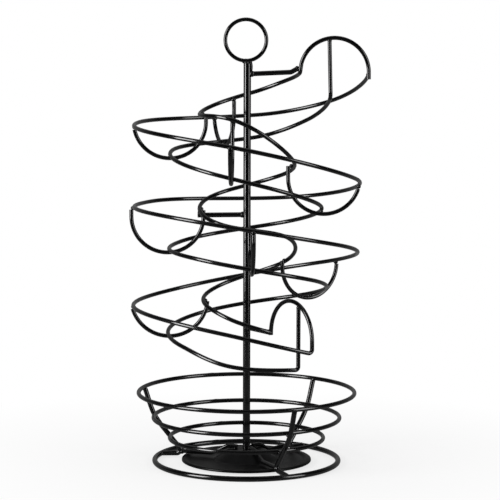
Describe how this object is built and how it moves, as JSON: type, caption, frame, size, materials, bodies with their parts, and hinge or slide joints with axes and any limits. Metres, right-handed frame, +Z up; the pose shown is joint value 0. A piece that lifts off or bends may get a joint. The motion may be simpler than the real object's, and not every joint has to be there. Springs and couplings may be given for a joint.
{
  "type": "egg dispenser",
  "caption": "Spiral wire track on a centre post that rolls eggs down to a stop above a round wire basket.",
  "frame": {"origin": "on the post's axis, on the surface that the base ring stands on", "axes": "+Z up along the post; +X towards the entry hoop at the top of the track; -Y towards the viewer of the picture"},
  "size_m": [0.2027, 0.1978, 0.3778],
  "materials": {
    "black_paint": "gloss black coat on steel wire",
    "disc_paint": "satin black coat on a pressed steel plate",
    "zinc_plate": "zinc plated"
  },
  "bodies": {
    "base": {"base_ring": "black_paint", "basket_rim": "black_paint", "basket_middle_ring": "black_paint", "basket_lower_ring": "black_paint", "basket_rib_1": "black_paint", "basket_rib_2": "black_paint", "basket_rib_3": "black_paint", "disc_spoke_1": "black_paint", "disc_spoke_2": "black_paint", "disc_spoke_3": "black_paint", "base_disc": "disc_paint", "foot_washer": "zinc_plate"},
    "tower": {"centre_post": "black_paint", "foot_nut": "zinc_plate", "carry_ring": "black_paint", "outer_rail": "black_paint", "inner_rail": "black_paint", "bottom_rail": "black_paint", "track_cradle_1": "black_paint", "track_cradle_2": "black_paint", "track_cradle_3": "black_paint", "track_cradle_4": "black_paint", "track_cradle_5": "black_paint", "track_cradle_6": "black_paint", "track_cradle_7": "black_paint", "track_cradle_8": "black_paint", "track_cradle_9": "black_paint", "top_arm": "black_paint", "middle_arm": "black_paint", "lower_arm": "black_paint"}
  },
  "joints": [
    {"name": "tower_turn", "type": "hinge", "parent": "base", "child": "tower", "pos_m": [0, 0, 0.0111], "axis": [0, 0, 1], "continuous": true}
  ]
}
